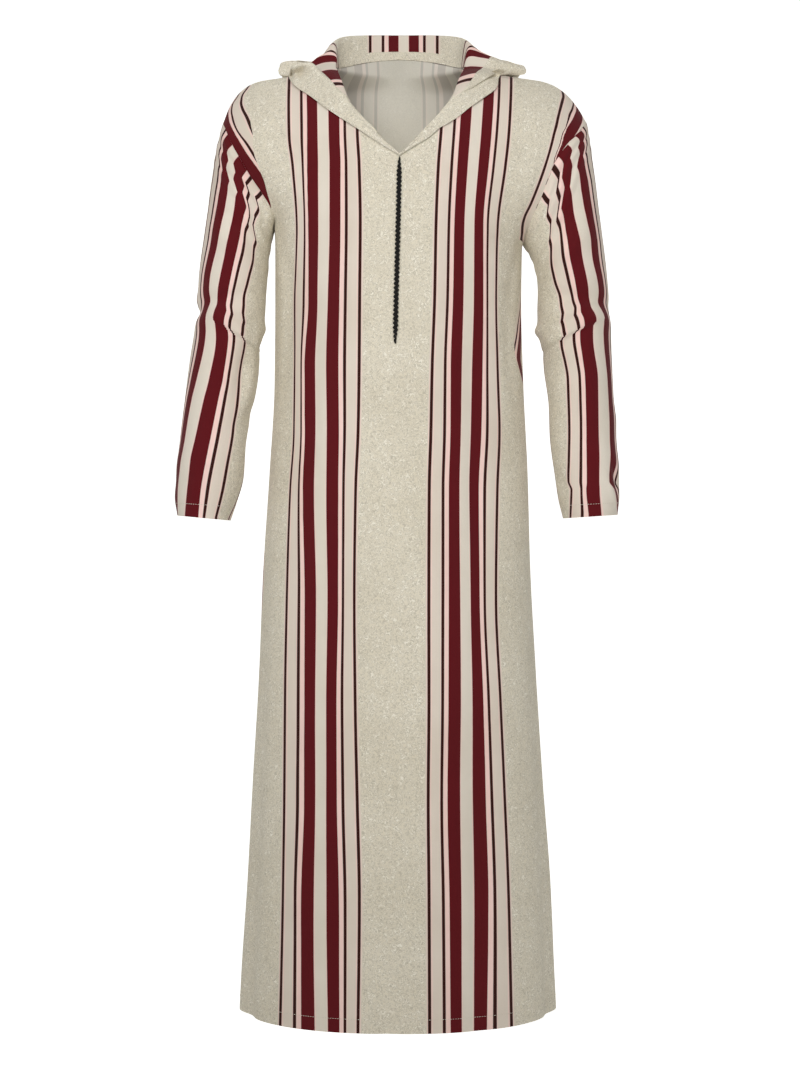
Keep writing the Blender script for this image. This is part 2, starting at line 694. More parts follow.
stripes = {
    # a group's own lines, by distance from its middle
    "lineReach": 0.0525, "bandReach": 0.0236, "bandStart": 0.0085, "betweenReach": 0.038,
    "reach": 0.064, "coveredBelow": -0.006, "plain": 0.1, "hidden": -0.02,
    # groups down the front: z, then x of the inner line, the inner band's edge, the middle,
    # the outer band's edge and the outer line
    "front": metres({"left": (
        (-1345, 57, 82, 105.5, 134.5, 164.5), (-1163, 55, 82.8, 109, 135, 161),
        (-1027, 58, 86, 108.5, 131, 159.5), (-891, 61.2, 86.6, 108, 131, 159),
        (-753, 62.8, 84.6, 106.4, 131, 156.8), (-602, 60.8, 84.5, 109.6, 134.2, 152.2),
        (-519, 57.2, 83.8, 109.2, 131.8, 146.8), (-430, 55.8, 84.6, 110.4, 132, 146.2),
        (-340, 55.2, 83.4, 107.5, 126.5, 147.8), (-236, 54.5, 82, 104.9, 127.2, 143),
        (-154, 56.4, 82, 105, 128.4, 148.2), (-111, 59, 83.5, 106.4, 128.5, 153.6),
        (0, 61.2, 85, 109, 132, 156.5),
    ), "right": (
        (-1345, 40, 68.6, 92, 119, 153), (-1162, 39.4, 67.2, 91.5, 121.5, 149),
        (-1026, 38.4, 64.5, 90.5, 118.5, 143.8), (-890, 39.4, 66, 92.2, 115.5, 138),
        (-753, 39.2, 66.5, 90.8, 110.5, 132.2), (-602, 39.8, 66.7, 88.8, 109.6, 134.5),
        (-519, 42.2, 69, 90.8, 112.8, 137.8), (-430, 44.2, 69.5, 92.5, 114, 134.5),
        (-340, 47.5, 72.8, 94.5, 115, 132.5), (-236, 49.6, 74.8, 95.8, 115, 135.2),
        (-154, 53, 79.2, 100.8, 122.2, 145.6), (-111, 56.5, 82.2, 104.4, 126.4, 150.4),
        (0, 64, 90, 112.5, 134.5, 158),
    )}),
    "backMiddle": 0.088, "backFar": 0.283,
    # groups along the armholes: z, x where the drag fold covers them, x of the line, of the
    # plain strip, of the band's inner edge and of its outer edge
    "shoulder": metres({"left": (
        (-216.5, 190, 140, 146, 156, 175), (-208.5, 179.5, 145.6, 152, 161.4, 180.4),
        (-186.9, 184.8, 159.5, 166, 175.3, 193.9), (-172.9, 188.1, 169.3, 176, 185.1, 203.9),
        (-160.2, 193.1, 177.7, 184.2, 193.2, 212.4), (-145.8, 198.5, 186.2, 193.6, 203.4, 222.3),
        (-132, 203.2, 193.3, 200, 213.4, 231.7), (-116.9, 204.7, 199.1, 209.4, 222.5, 240.6),
        (-104.2, 205.3, 204, 220, 229.7, 244.6), (-94.7, 207.4, 207.7, 226.1, 234.8, 247.2),
        (-78.6, 209.5, 214.3, 231.5, 241.3, 249.2), (-63.9, 205, 221.8, 235, 243, 249),
        (-54.3, 198, 224.5, 234.5, 241, 248), (-45.3, 195, 224.3, 229, 235.8, 244),
        (-29.6, 190, 216.2, 221.5, 230.1, 238), (0, 190, 200, 210, 220, 230),
    ), "right": (
        (-255, 160, 171.2, 182, 196, 211), (-233.1, 160, 171.6, 183, 196, 210.5),
        (-221, 160, 174.3, 185, 197.5, 213), (-205.1, 165, 182, 193, 204.5, 217.2),
        (-182.5, 172, 191.4, 202, 212, 224.5), (-156.1, 180, 200.9, 212, 218, 229.4),
        (-141.4, 185, 205.8, 214.5, 217.2, 225), (-132.4, 188, 208.5, 217.2, 220.1, 226),
        (-119.1, 190, 212, 222.2, 225.3, 234.5), (-103.5, 195, 215.8, 226.2, 229.5, 245.4),
        (-93, 198, 218.6, 231.2, 234.6, 251.4), (-81.6, 200, 221.2, 233, 241.4, 256.4),
        (-73.7, 200, 223.3, 234.2, 245.4, 257.9), (-62.1, 200, 226.3, 239.5, 249.5, 256.3),
        (-52, 200, 229, 243, 250, 254.5), (-42.7, 200, 231.4, 242, 248.5, 252.8),
        (-29.3, 198, 229.8, 235, 245.7, 252), (0, 190, 215, 225, 235, 245),
    )}),
    # the next band, where it shows round the front's side seams: z, run from the seam to the
    # band's inner edge, and to where a fold covers what lies before it
    "sideBand": metres({"left": (
        (-1345, 10, 12), (-1300, 13, 16), (-1180, 11, 14), (-1080, -6, -4), (-840, -10, -8), (-775, 12, 14),
        (-740, 17, 20), (-700, 14, 17), (-660, -6, -4), (-220, -10, -8),
    ), "right": (
        (-1345, -10, -8), (-462, -10, -8), (-450, 14, 16), (-430, 33, 35), (-415, 40, 43), (-400, 36, 46),
        (-388, 31, 46), (-366, 23, 41), (-345, 12, 34), (-330, 4, 26), (-309, -6, 16), (-285, -10, -8),
        (-220, -10, -8),
    )}),
}


def groupDistance(value, lines):
    reach = stripes["lineReach"], stripes["bandReach"], 0.0, -stripes["bandReach"], -stripes["lineReach"]
    return np.abs(acrossLines(value, lines, reach))


def bodyPrint(face, x, u, z):
    # distance from the middle of the nearest group of stripes, and how far a fold leaves it bare
    apart, bare = np.full(x.shape, 1.0), np.full(x.shape, 1.0)
    for side, sign in sideSign.items():
        here = x * sign >= 0
        run, off, height = np.abs(u[here]), np.abs(x[here]), z[here]
        width = halfWidth(height, side, face)
        toSeam = roundFromMiddle(width, height, side, face) - run
        table = stripes["shoulder"][side]
        reach = [stripes[name] for name in ("lineReach", "betweenReach", "bandReach", "bandStart")]
        shoulder = np.abs(acrossLines(off, [follow(table, height, i) for i in range(2, 6)], reach))
        shoulderBare = np.where(height > table[0][0], off - follow(table, height, 1), stripes["hidden"])
        if face == "front":
            drift = sign * follow(body["centreDrift"], height)
            lines = []
            for column in range(1, 6):
                at = follow(stripes["front"][side], height, column)
                at = at - drift * (1 - (at / width) ** 2)
                lines.append(roundFromMiddle(at, height, side, face))
            near = groupDistance(run, lines)
            skirt = stripes["bandReach"] + toSeam - follow(stripes["sideBand"][side], height, 1)
            skirtBare = follow(stripes["sideBand"][side], height, 2) - toSeam
        else:
            near, skirt = np.abs(run - stripes["backMiddle"]), run - stripes["backFar"]
            skirtBare = np.full(run.shape, 1.0)
        inYoke = height > body["armholes"][side][3]
        farBare = np.where(inYoke, shoulderBare, skirtBare)
        covered = np.where(farBare < stripes["coveredBelow"], stripes["plain"], 0.0)
        far = np.maximum(np.where(inYoke, shoulder, np.abs(skirt)), covered)
        isNear = near < stripes["reach"]
        apart[here] = np.where(isNear, near, far)
        bare[here] = np.where(isNear, 1.0, farBare)
    return apart, bare


def dressBody(panels):
    pieces = {}
    for face, panel in panels.items():
        points = panel["points"].copy()
        middle = points.shape[1] // 2
        aside = np.array([0.0, faceSign[face] * cloth["seamGap"] / 2, 0.0])
        points[:body["skirtRows"] + 1, [0, -1]] += aside
        points[-1, np.abs(points[-1, :, 0]) > body["neckHalf"] - 0.004] += aside
        index = numbered(points.shape)
        z = points[..., 2].ravel()
        u, x = panel["u"].ravel(), panel["x"].ravel()
        points, normals = points.reshape(-1, 3), panel["normals"].reshape(-1, 3)
        if face == "front":
            # the slit: its rows have a second point, and each edge moves aside
            slit = np.where(z[index[:, middle]] > body["slitBottomZ"])[0]
            twin = index[slit, middle]
            left, right = index[:, :middle + 1], index[:, middle:].copy()
            right[slit, 0] = len(points) + np.arange(len(slit))
            shift = np.array([body["slitHalfGap"], 0, 0])
            moved = points[twin] + shift
            points[twin] -= shift
            points = np.concatenate([points, moved])
            normals, u, x, z = (np.concatenate([values, values[twin]]) for values in (normals, u, x, z))
            faces = np.concatenate([quadFaces(left), quadFaces(right)])
        else:
            faces = quadFaces(index)[:, ::-1]
        maps = {"print": np.stack(bodyPrint(face, x, u, z), axis=-1),
                "cut": np.stack([u, z - body["hemZ"]], axis=-1)}
        piece = clothMesh("cloth_" + face, points, normals, faces, maps, [outsideCloth, insideCloth])
        pieces[face] = settle(piece, face)
    return pieces


panels = bodyPanels()
bodyPieces = dressBody(panels)
print("front and back made")

# sleeves

sleeves = {
    "rings": 250, "stitchUp": 0.065, "widestTurn": 3.5, "foldFade": 0.15, "bowRings": 44,
    "seamGap": 0.0001,
    "clothShare": 0.88,        # run along the cloth to the distance straight across from its seam
    "elbowFade": 0.045,
    # outer x, outer z, inner x, inner z, centre y, half depth; x away from the centre plane
    "sections": metres({"left": (
        (251, -80, 178, -230, 0, 55), (261, -122, 180.5, -240, 0, 59), (268, -170, 183, -252, -1, 62),
        (275, -222, 186, -270, -3, 63), (284, -290, 188, -303, -6, 62), (288, -358, 192, -360, -10, 60),
        (296, -412, 196, -414, -16, 58), (303, -472, 205, -474, -24, 55), (309, -529, 216, -531, -33, 53),
        (313, -585, 220, -588, -43, 51), (315, -612, 228, -617, -48, 50), (311, -637, 237, -644, -51, 49),
    ), "right": (
        (265, -80, 174, -252, 0, 55), (271, -118, 180, -260, 0, 60), (277, -165, 186, -270, -1, 63),
        (284, -220, 192, -288, -3, 64), (292, -286, 195, -313, -6, 63), (297, -350, 195, -360, -10, 61),
        (299, -412, 200, -416, -16, 59), (301, -472, 209, -474, -24, 56), (304, -529, 211, -531, -33, 53),
        (306, -585, 218, -588, -43, 51), (307, -612, 222, -616, -48, 50), (304, -636, 228, -641, -51, 49),
    )}),
    # largest folds: turn (degrees from the outer edge towards the front), z, half turn,
    # half height, height (+ out), slope of z per degree
    "folds": (
        (70, -0.335, 55, 0.011, -0.006, 0.0001), (60, -0.362, 50, 0.012, 0.0035, 0.0001),
        (115, -0.205, 32, 0.012, 0.005, -0.0007), (100, -0.235, 36, 0.012, -0.0045, -0.0007),
        (95, -0.268, 40, 0.014, 0.0035, -0.0006), (-80, -0.215, 45, 0.014, 0.0045, 0.0006),
        (-75, -0.25, 45, 0.015, -0.0045, 0.0006), (-70, -0.345, 60, 0.014, -0.006, -0.0002),
        (150, -0.42, 45, 0.025, -0.004, 0.0003), (40, -0.56, 50, 0.02, 0.0025, 0.0002),
    ),
    # small folds that one sleeve has and the other hasn't, in the same terms
    "ownFolds": {"left": (
        (180, -0.398, 26, 0.007, -0.0042, 0.0), (180, -0.374, 24, 0.01, 0.0026, 0.0),
        (5, -0.352, 26, 0.007, -0.004, 0.0), (-5, -0.332, 26, 0.01, 0.0022, 0.0),
        (150, -0.44, 15, 0.045, 0.0036, 0.001), (128, -0.44, 12, 0.045, -0.003, 0.001),
        (160, -0.5, 50, 0.014, -0.0028, 0.0003),
    ), "right": (
        (180, -0.377, 26, 0.009, 0.0056, 0.0), (178, -0.4, 26, 0.01, -0.0016, 0.0),
        (28, -0.588, 15, 0.013, -0.004, 0.0012), (48, -0.6, 16, 0.014, 0.0022, 0.0012),
        (-4, -0.5, 30, 0.018, 0.0018, 0.0), (150, -0.59, 22, 0.012, -0.002, 0.0004),
    )},
    # crease across the elbow: x away from the centre plane, z, slope, x where it fades out, and
    # by distance above it how far the stripes jog outwards and how far the cloth rises
    "elbow": {"left": (0.254, -0.3683, 0.62, 0.272), "right": (0.272, -0.3683, 0.48, 0.290)},
    "elbowJog": metres((
        (-60, 0), (-30, -0.8), (-1, -2.6), (1, 4.2), (12, 1.6), (24, -1.8), (34, 0.9), (46, 0),
    )),
    "elbowRise": metres((
        (-34, 0), (-12, -1), (-2, -2.2), (1.5, 2.6), (8, 2.8), (20, -1), (32, 1.2), (50, 0),
    )),
    # the group of stripes: z, then x of the outer band's inner edge, the inner band's two edges
    # and the inner line, away from the centre plane
    "lines": metres({"left": (
        (-640, 309, 297, 278, 254), (-602, 309, 294, 275, 245), (-560, 303, 289, 268, 238),
        (-518, 298, 281, 260, 231), (-476, 291, 272, 252, 225), (-448, 284, 265, 246, 222),
        (-392, 272, 256, 240, 217), (-364, 270, 258, 243, 219), (-336, 268, 256, 241, 217),
        (-308, 266, 251, 236, 212), (-252, 253, 239, 224, 200), (-231, 249, 235, 219, 196),
        (-210, 245, 231, 215, 192), (-80, 219, 205, 189, 166),
    ), "right": (
        (-636, 303, 277, 260, 236), (-602, 297, 275, 257, 237), (-590, 289, 275, 258, 233),
        (-560, 291, 275, 258, 234), (-518, 292, 275, 258, 235), (-449, 290, 275, 257, 233),
        (-393, 285, 269, 252, 226), (-364, 284, 270, 254, 227), (-336, 280, 265, 248, 223),
        (-308, 276, 260, 243, 216), (-280, 269, 254, 237, 211), (-252, 265, 249, 233, 206),
        (-231, 261, 245, 229, 201), (-80, 233, 217, 201, 173),
    )}),
    # sideways jog of the stripes over the pleats under the armhole: distance from the seam, jog
    "pleatJog": metres(((0, 10), (4, 11.5), (12, 14.5), (16, 8.5), (24, 9.5), (30, 0), (36, 1.2), (46, 0))),
    # rise of the cloth over the same pleats
    "pleatRise": metres((
        (0, -0.8), (3, 0.6), (8, 2.2), (13, 0.4), (19, 2.4), (26, 0.2), (32, 2), (40, 0), (60, 0.8),
        (80, 0),
    )),
}


def sleeveSection(side, z):
    # outer x, inner x, centre y and half depth of the sleeve at one height
    sections = sleeves["sections"][side]
    places = np.linspace(0, len(sections) - 1, cloth["sleeveSteps"])
    outerX, outerZ, innerX, innerZ, y, depth = np.transpose([through(sections, place) for place in places])
    middle = (outerZ + innerZ) / 2
    return [np.interp(-z, -heights, values)
            for heights, values in ((outerZ, outerX), (innerZ, innerX), (middle, y), (middle, depth))]


def elbowShare(side, x, z, values):
    # a value by distance above the crease across the elbow, fading out towards the outer edge
    acrossX, acrossZ, slope, endX = sleeves["elbow"][side]
    above = z - acrossZ - slope * (np.abs(x) - acrossX)
    fade = np.clip((endX - np.abs(x)) / sleeves["elbowFade"], 0, 1)
    return np.interp(above, *np.transpose(values)) * fade


def fromArmhole(side, x, z):
    # run along the cloth out from the armhole's seam
    return sleeves["clothShare"] * (np.abs(x) - armholeX(z, side))


def sleevePrint(side, points):
    # points of the sleeve without its folds; distance from the middle of a group of stripes
    x, y, z = np.abs(points[..., 0]), points[..., 1], points[..., 2]
    outer, inner, middleY, depth = sleeveSection(side, z)
    middle, half = (outer + inner) / 2, (outer - inner) / 2

    def roundTo(turn):
        # run from the outer edge, positive towards the front
        steps = turn[..., None] * np.linspace(0, 1, cloth["turnSteps"])
        return np.sign(turn) * np.hypot(half[..., None] * np.diff(np.cos(steps)),
                                        depth[..., None] * np.diff(np.sin(steps))).sum(axis=-1)

    run = roundTo(np.arctan2(-(y - middleY) / depth, (x - middle) / half))
    whole = 2 * roundTo(np.full(x.shape, math.pi))
    fromSeam = fromArmhole(side, x, z)
    jog = np.interp(fromSeam, *np.transpose(sleeves["pleatJog"])) * (fromSeam > 0)
    jog += elbowShare(side, x, z, sleeves["elbowJog"])
    lines = []
    for column in range(1, 5):
        at = np.clip((follow(sleeves["lines"][side], z, column) + jog - middle) / half, -1, 1)
        lines.append(roundTo(np.arccos(at)))
    reach = -stripes["bandStart"], stripes["bandStart"], stripes["bandReach"], stripes["lineReach"]
    first = acrossLines(run, lines, reach)
    second = first % whole - whole / 2
    return np.minimum(np.abs(first), np.abs(second)), run


def sleeveTurns():
    # turns round the sleeve that meet every row of the armholes' edges, none too far apart
    half = np.arccos(2 * yokeShares() - 1)[::-1]
    turns = []
    for start, end in zip(half[:-1], half[1:]):
        count = math.ceil((end - start) / math.radians(sleeves["widestTurn"]))
        turns += [start + (end - start) * k / count for k in range(count)]
    turns = np.array([*turns, math.pi])
    return np.concatenate([turns, 2 * math.pi - turns[-2:0:-1]])


def sleeveGrid(side):
    # points round the sleeve, ring by ring from the armhole, with its folds and without
    sign = sideSign[side]
    sections = sleeves["sections"][side]
    turn = sleeveTurns()
    rings, heights = [], []
    for share in np.arange(sleeves["rings"] + 1) / sleeves["rings"]:
        outerX, outerZ, innerX, innerZ, y, depth = through(sections, share * (len(sections) - 1))
        outerPoint, innerPoint = np.array([sign * outerX, y, outerZ]), np.array([sign * innerX, y, innerZ])
        centre, reach = (outerPoint + innerPoint) / 2, (outerPoint - innerPoint) / 2
        forward = np.array([0.0, -depth, 0.0])
        points = centre + reach * np.cos(turn)[:, None] + forward * np.sin(turn)[:, None]
        height = np.zeros(len(turn))
        for foldTurn, foldZ, halfTurn, halfHeight, out, slope in sleeves["folds"] + sleeves["ownFolds"][side]:
            off = (np.degrees(turn) - foldTurn + 180) % 360 - 180
            rise = points[:, 2] - foldZ - slope * off
            height += out * np.exp(-(off / halfTurn) ** 2 - (rise / halfHeight) ** 2)
        rings.append(points)
        heights.append(height * min(share / sleeves["foldFade"], 1.0))
    smooth = np.array(rings)
    # the first ring lies on the edge of the armhole
    first = smooth[0].copy()
    for face, way in (("front", np.sin(turn) >= 0), ("back", np.sin(turn) < 0)):
        edge = panels[face]["points"][body["skirtRows"]:, 0 if side == "left" else -1]
        for axis in (0, 1):
            first[way, axis] = np.interp(first[way, 2], edge[:, 2], edge[:, axis])
    tipX, tipZ, pitX, pitZ = sections[0][:4]
    away = np.array([sign * (tipZ - pitZ), 0.0, -(tipX - pitX)])
    first += away / np.linalg.norm(away) * sleeves["seamGap"]
    fade = (1 - ease(0, sleeves["bowRings"], np.arange(len(smooth)))) ** 1.2
    smooth += (first - smooth[0]) * fade[:, None, None]
    x, z = smooth[..., 0], smooth[..., 2]
    fromSeam = fromArmhole(side, x, z)
    pleats = follow(sleeves["pleatRise"], fromSeam) * (0.35 + 0.65 * np.abs(np.sin(turn)))
    height = np.array(heights) + pleats * (fromSeam > 0)
    height += elbowShare(side, x, z, sleeves["elbowRise"]) * (0.5 + 0.5 * np.sin(turn))
    outward = unit(smooth - smooth.mean(axis=1, keepdims=True))
    return smooth + outward * height[..., None], smooth


def dressSleeve(side):
    points, smooth = sleeveGrid(side)
    wrapped = np.concatenate([points[:, -1:], points, points[:, :1]], axis=1)
    normals = gridNormals(wrapped)[:, 1:-1]
    if np.dot(normals[60, 0], points[60, 0] - points[60].mean(axis=0)) < 0:
        normals = -normals
    ring = round((1 - sleeves["stitchUp"]) * sleeves["rings"])
    cuffLines[side] = [np.concatenate([grid[ring], grid[ring, :1]]) for grid in (points, normals)]
    apart, run = sleevePrint(side, smooth)
    faces = quadFaces(numbered(points.shape), closed=True)
    if side == "left":
        faces = faces[:, ::-1]
    maps = {"print": np.stack([apart, np.full(apart.shape, 1.0)], axis=-1).reshape(-1, 2),
            "cut": np.stack([run, points[..., 2]], axis=-1).reshape(-1, 2)}
    piece = clothMesh("cloth_sleeve_" + side, points.reshape(-1, 3), normals.reshape(-1, 3), faces,
                      maps, [outsideCloth, insideCloth])
    return settle(piece, "sleeve_" + side)


cuffLines = {}
sleevePieces = {side: dressSleeve(side) for side in sideSign}
print("sleeves made")

# hood, thrown back

hood = {
    "rowSteps": (12, 12, 7, 6, 6, 6, 8, 8, 8, 6, 6, 6, 6), "profileSteps": (7, 7, 5, 5, 14, 14, 12, 12),
    "groupMiddle": 0.0054, "groupWidth": 0.93, "plainBelow": 0.55,
    # Rows of the collar from the centre back over the shoulder: place on the back's neck edge (x),
    # distance from the middle of the side's group of stripes, x where its stripes end, then
    # points from the neck seam over the crest and round the bag, in x, y, z.
    "backRows": metres((
        (0, -200, 1000, (0, 73.5, 45), (0, 76.5, 57), (0, 80, 61.2), (0, 85.5, 56), (0, 112, -120),
         (0, 131, -300), (0, 160, -140), (0, 142, 4)),
        (45, -150, 1000, (46.5, 64, 43), (47.5, 66.5, 55), (49, 70, 59.2), (51.5, 75.5, 54), (52, 108, -80),
         (44, 131, -215), (62, 154, -100), (64, 134, 8)),
        (78, -100, 1000, (80, 40, 32), (80.8, 42.5, 46.5), (82.2, 45.5, 51.8), (86, 49.5, 48),
         (96, 86, -20), (104, 110, -100), (120, 122, -50), (110, 102, 18)),
    )),
    "sideRows": metres({"left": (
        (86.2, -64, 1000, (88.5, 26.5, 29), (90, 27.2, 39.8), (92.2, 28, 42.8), (96.8, 30.5, 39.8),
         (110, 58, 0), (128, 78, -55), (142, 84, -18), (124, 68, 20)),
        (88.5, -52.5, 1000, (91.4, 19.5, 32), (95.5, 20, 37.2), (99.5, 21, 35.2), (104.3, 22.5, 29.4),
         (120, 44, 4), (146, 58, -36), (156, 58, -4), (136, 50, 18)),
        (90.5, -32.4, 1000, (91.3, 12, 20.8), (97.8, 12, 25.2), (104.5, 12, 23.2), (111.7, 12.5, 17.1),
         (130, 26, 6), (160, 36, -20), (170, 32, 2), (150, 26, 13.5)),
        (91.4, -23.6, 1000, (91.2, 8, 16), (103, 7, 18.2), (118, 6, 14), (128.4, 4.5, 5.2), (140, 7.5, 8),
         (154, 9, 11.2), (168, 7, 7.2), (172.5, 4.5, -3.5)),
        (92, -8.3, 1000, (91.5, 2.5, 7), (100, 1, 7.2), (112, 0, 5), (124.5, -1.5, -0.5), (133, 1, -2.2),
         (145, 2, -4), (158, 2, -7), (170, 2, -11)),
    ), "right": (
        (86.2, -64, 118, (89, 26.5, 30), (91.2, 27.2, 41.2), (93.5, 28, 44.2), (98.5, 30.5, 40.5),
         (112, 58, 0), (130, 78, -55), (144, 84, -18), (126, 68, 20)),
        (88.2, -52.5, 120, (92.8, 20, 34.5), (95, 21, 41.2), (98.5, 21.5, 39.2), (104, 22.5, 34.2),
         (122, 44, 8), (146, 58, -34), (158, 60, -2), (138, 52, 20)),
        (89.8, -32.4, 126, (96.5, 12, 28.5), (101.2, 12, 31.8), (107.5, 12, 29), (116.5, 12, 23.2),
         (138, 22, 13), (162, 34, -12), (174, 32, 2), (156, 24, 12)),
        (90.5, -23.6, 130, (97.2, 9, 25.8), (106, 9, 25.2), (117.5, 8, 20.5), (131, 6.5, 15.2), (148, 6, 9),
         (163, 8, 6), (175.5, 8, 3), (179, 5, -3)),
        (91.4, -8.3, 126.5, (95.8, 3.5, 13.8), (101.5, 3, 16), (112, 2, 14.2), (127, 0, 11.2), (144, -1, 5),
         (158, -1, 0), (170, 0, -4), (177, 1, -9.5)),
        (92, 8.3, 117.5, (94, -4, -1), (100, -6, -0.6), (117, -7.5, -2.2), (133, -7.5, -5.8),
         (143, -6, -7.8), (150, -4, -9), (153, -1, -10), (153, 2, -10.5)),
    )}),
    # rows down the chest: place on the neck edge (x), distance from the middle of the stripes, x
    # where they end, then x, z and lift of the line where the collar turns over
    "frontRows": metres({"left": (
        (87.8, 8.3, 1000, 111.2, -14.2, 6), (81.5, 23.6, 1000, 99.5, -31, 5.8),
        (79.5, 32.4, 1000, 95.2, -36.8, 5.5), (73.5, 44, 1000, 79, -57, 4),
        (69, 46, 1000, 71.2, -64.5, 2.6),
    ), "right": (
        (82.6, 23.6, 106.5, 129, -18.2, 7.8), (79.5, 32.4, 100.3, 115, -29, 7.4),
        (74, 44, 90, 98.5, -42.5, 6.2), (65, 46, 80, 83, -52, 4),
    )}),
    # the leaf turned out on the chest: x, z and lift of its inner edge, x, z and lift of its rim
    "leaf": metres({"left": (
        (150, -6, 5, 153.5, -10, 3), (145.5, -4.2, 7.5, 156, -18, 3.4),
        (134.9, -2.2, 9.2, 150.8, -30.2, 3.4), (124, -3, 9.8, 140.4, -41.2, 3),
        (109.1, -16.8, 9.8, 128.4, -50.2, 2.8), (97.3, -30.5, 9.6, 112.6, -63.7, 2.6),
        (86.4, -45, 8.5, 97, -76.5, 2.5), (73.5, -57, 6.8, 81.6, -88, 2.4),
        (60.2, -74, 5.2, 64.9, -99.4, 2.3), (46, -90.8, 4.4, 50, -109.8, 2.2),
        (31, -107.2, 3.8, 34.4, -120.7, 2.1), (15, -124, 3.2, 18, -131.2, 2),
        (0.2, -139.8, 2.6, 0.6, -142, 2),
    ), "right": (
        (150, -8, 3, 154.5, -9.8, 2.6), (140, -10, 3.4, 150, -12.5, 2.8), (125, -12, 3.6, 140.2, -18.2, 3),
        (116, -20, 3.8, 137.2, -30, 3), (105, -29, 3.8, 134, -40.5, 2.8), (90, -40, 3.8, 117, -55.7, 2.6),
        (77.8, -49, 4, 99.9, -69, 2.5), (67.2, -64, 4.2, 78.8, -87.4, 2.4), (56, -79, 4.4, 64, -97, 2.3),
        (43.5, -93.5, 4.2, 53, -104, 2.2), (28.5, -110, 3.7, 40, -116, 2.1),
        (13, -126.2, 3.1, 19.3, -128.8, 2), (-1.2, -140.2, 2.6, -1, -142.2, 2),
    )}),
    # across the leaf: share of the way to its rim, share of the lift
    "leafProfile": {"left": (
        (0.16, 0.66), (0.03, 0.72), (0.0, 0.84), (0.03, 0.96), (0.12, 1.0), (0.4, 0.86), (0.75, 0.5),
        (1.0, 0.0),
    ), "right": (
        (0.1, 0.6), (0.02, 0.72), (0.0, 0.84), (0.03, 0.96), (0.12, 1.04), (0.4, 1.2), (0.75, 0.7),
        (1.0, 0.0),
    )},
    "leafRowSteps": 9, "leafProfileSteps": (4, 4, 4, 5, 9, 11, 9),
    "leastLift": 0.0016, "seamLift": 0.0004, "smoothing": 3,
    # rows down the chest: share of the way to the turned edge and of the lift, then the run back
    # from it and the share of the lift
    "overCrest": ((0.12, 0.5), (0.42, 0.85), (0.74, 1.0), (1.0, 0.92)), "crestBow": 0.30,
    "beneath": ((-0.0006, 0.7), (0.001, 0.5), (0.003, 0.4), (0.005, 0.36)), "fullWidth": 0.012,
}


def panelTree(panels):
    points, faces = [], []
    for face, panel in panels.items():
        thin = panel["points"][::2, ::2]
        quads = quadFaces(numbered(thin.shape, len(points)))
        faces += (quads if face == "front" else quads[:, ::-1]).tolist()
        points += thin.reshape(-1, 3).tolist()
    return BVHTree.FromPolygons(points, faces)


bodyTree = panelTree(panels)


def onChest(side, x, z, lift):
    # point straight in front of the chest's cloth, at a clear distance from it
    x = sideSign[side] * x
    hit, normal, _, _ = bodyTree.ray_cast(Vector((x, -1.0, z)), Vector((0.0, 1.0, 0.0)))
    lift = max(lift, hood["leastLift"])
    if hit is None:
        near, normal, _, _ = bodyTree.find_nearest(Vector((x, -0.05, z)))
        return np.array([x, near[1] - lift, z])
    return np.array([x, hit[1] - lift / max(abs(normal[1]), 0.45), z])


def neckSeam(side, face, seamX):
    # point of a panel's neck edge
    edge = panels[face]["points"][-1]
    middle = len(edge) // 2
    edge = edge[:middle + 1][::-1] if side == "left" else edge[middle:]
    edge = edge[:body["neckColumns"] + 1]
    return np.array([np.interp(seamX, np.abs(edge[:, 0]), edge[:, i]) for i in range(3)])


def stripRow(side, seamX, foldX, foldZ, lift):
    # from the neck edge out to the line where the collar turns over, and back beneath
    seam = neckSeam(side, "front", seamX)
    start, end = np.array([abs(seam[0]), seam[2]]), np.array([foldX, foldZ])
    width = np.linalg.norm(end - start)
    way = (end - start) / width
    points = []
    for share, high in hood["overCrest"]:
        place = start + (end - start) * share
        place[1] += hood["crestBow"] * width * share * (1 - share)
        points.append(onChest(side, *place, lift * high))
    for back, high in hood["beneath"]:
        place = end - way * back * min(width / hood["fullWidth"], 1.0)
        points.append(onChest(side, *place, lift * high))
    return points


def collarRows(side):
    # per row: distance from the middle of the stripes, where they end, and its points
    rows = []
    for seamX, apart, stop, *points in (*hood["backRows"], *hood["sideRows"][side]):
        start = neckSeam(side, "back", seamX) + np.array([0.0, -0.0008, hood["seamLift"]])
        rows.append((apart, stop, [start, *(np.array([sideSign[side] * x, y, z]) for x, y, z in points)]))
    for seamX, apart, stop, foldX, foldZ, lift in hood["frontRows"][side]:
        seam = neckSeam(side, "front", seamX)
        start = onChest(side, abs(seam[0]) + 0.0004, seam[2], hood["leastLift"])
        rows.append((apart, stop, [start, *stripRow(side, seamX, foldX, foldZ, lift)]))
    return rows


def loft(rows, rowSteps, profileSteps):
    # smooth surface through rows of points, and the places it was taken at both ways
    rows = np.array(rows)
    places, samples = ([i + k / count for i, count in enumerate(steps) for k in range(count)] + [len(steps)]
                       for steps in (rowSteps, profileSteps))
    fine = []
    for place in places:
        profile = [through(rows[:, column], place) for column in range(rows.shape[1])]
        fine.append([through(profile, sample) for sample in samples])
    return np.array(fine), np.array(places), np.array(samples)


def smoothGrid(points, passes):
    for _ in range(passes):
        points[1:-1, 1:-1] += 0.5 * (around(points) - points[1:-1, 1:-1])
    return points


